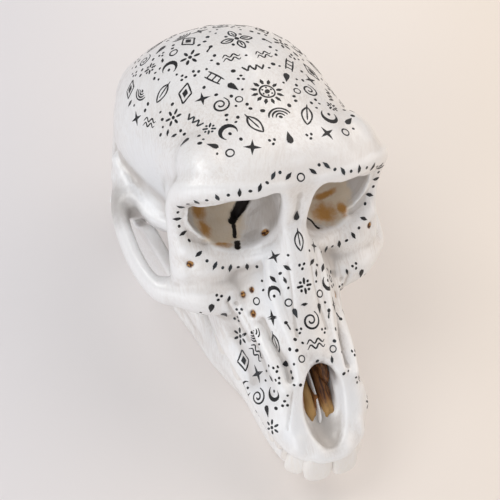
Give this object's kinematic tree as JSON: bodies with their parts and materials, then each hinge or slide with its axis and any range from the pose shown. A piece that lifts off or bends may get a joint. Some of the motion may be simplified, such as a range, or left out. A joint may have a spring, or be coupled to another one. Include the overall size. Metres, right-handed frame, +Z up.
{
  "type": "baboon skull",
  "caption": "Baboon skull with lower jaw in place: long muzzle, square eye sockets, cheek arches and rounded braincase, resting on the base of the jaw.",
  "frame": {"origin": "bottom centre of the bounding box, on the surface that the lower jaw rests on", "axes": "the skull faces -Y, its left side is +X, +Z is up; the plane x = 0 divides it into equal halves"},
  "size_m": [0.1012, 0.1697, 0.1036],
  "materials": {
    "painted_bone": "pearl white paint over dry bone, brushed by hand, with black ink drawing on the upper side"
  },
  "bodies": {
    "root": {"braincase": "painted_bone", "brow_ridge": "painted_bone", "cheekbone_left": "painted_bone", "cheekbone_right": "painted_bone", "muzzle": "painted_bone", "lower_jaw": "painted_bone"}
  },
  "joints": []
}
